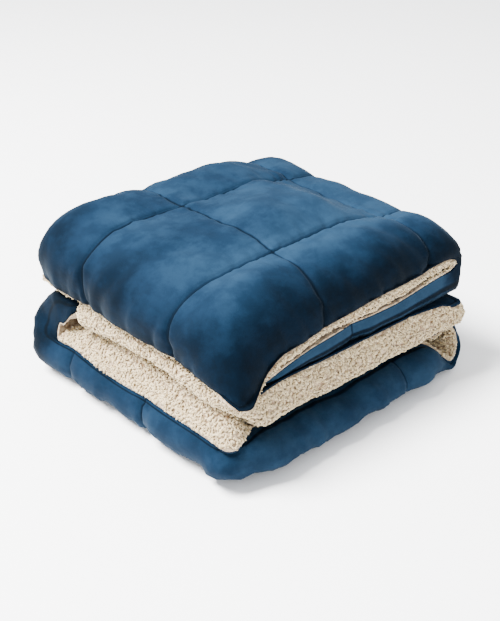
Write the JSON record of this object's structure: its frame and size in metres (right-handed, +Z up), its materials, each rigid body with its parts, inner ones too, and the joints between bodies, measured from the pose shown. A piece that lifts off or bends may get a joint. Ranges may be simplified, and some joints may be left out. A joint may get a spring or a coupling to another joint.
{
  "type": "folded quilted throw",
  "caption": "Box-quilted filled throw with a soft plush face and a curly pile back, folded back and forth into a puffy stack that lies flat.",
  "frame": {"origin": "on the surface that the stack lies on, under the middle of its bounding box", "axes": "+Z up, +X along the front side towards the right fold, +Y along the left side towards the back fold"},
  "size_m": [0.4494, 0.4352, 0.2487],
  "materials": {
    "plush": "short brushed plush, deep blue, with lighter patches where the nap is brushed the other way",
    "pile": "curly matt fleece pile, warm cream"
  },
  "bodies": {
    "root": {"plush_face": "plush", "pile_back": "pile"}
  },
  "joints": []
}
